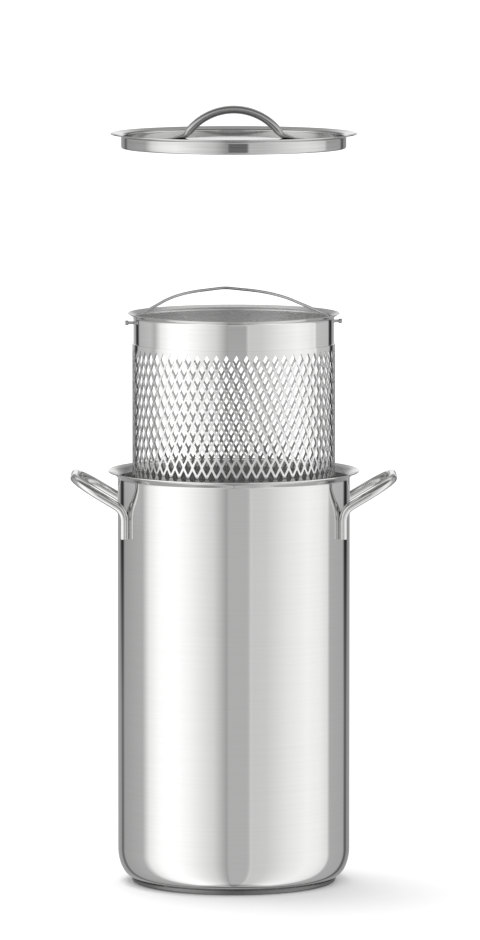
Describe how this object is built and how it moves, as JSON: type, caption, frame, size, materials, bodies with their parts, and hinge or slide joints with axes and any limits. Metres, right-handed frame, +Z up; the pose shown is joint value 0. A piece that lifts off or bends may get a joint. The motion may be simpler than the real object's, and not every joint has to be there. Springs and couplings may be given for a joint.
{
  "type": "asparagus pot",
  "caption": "Tall steel pot on a capsule base, with side handles, a drop-in lid with an arched handle and a lift-out perforated basket on a wire bail.",
  "frame": {"origin": "middle of the base's underside, on the surface that the pot stands on", "axes": "+Z up along the pot's axis, +X towards the right side handle, +Y away from the front"},
  "size_m": [0.2246, 0.1734, 0.5366],
  "materials": {
    "pot_steel": "satin, brushed round the pot",
    "core_aluminium": "bare, hidden in the base",
    "base_steel": "satin",
    "handle_steel": "polished",
    "lid_steel": "satin, brushed round the lid",
    "grip_steel": "satin",
    "basket_steel": "polished",
    "wire_steel": "drawn wire"
  },
  "bodies": {
    "pot": {"pot_shell": "pot_steel", "base_core": "core_aluminium", "base_cap": "base_steel", "side_handle_left": "handle_steel", "side_handle_right": "handle_steel"},
    "basket": {"basket_wall": "basket_steel", "basket_floor": "basket_steel"},
    "bail": {"basket_bail": "wire_steel"},
    "lid": {"lid_dish": "lid_steel", "lid_handle": "grip_steel"}
  },
  "joints": [
    {"name": "basket_lift", "type": "slide", "parent": "pot", "child": "basket", "axis": [0, 0, 1], "range_m": [-0.1349, 0.15]},
    {"name": "bail_swing", "type": "hinge", "parent": "basket", "child": "bail", "pos_m": [0, 0, 0.38753], "axis": [0.994, 0.1097, 0], "range_deg": [-18.5, 161.5]},
    {"name": "lid_lift", "type": "slide", "parent": "basket", "child": "lid", "axis": [0, 0, 1], "range_m": [-0.0971, 0]}
  ]
}
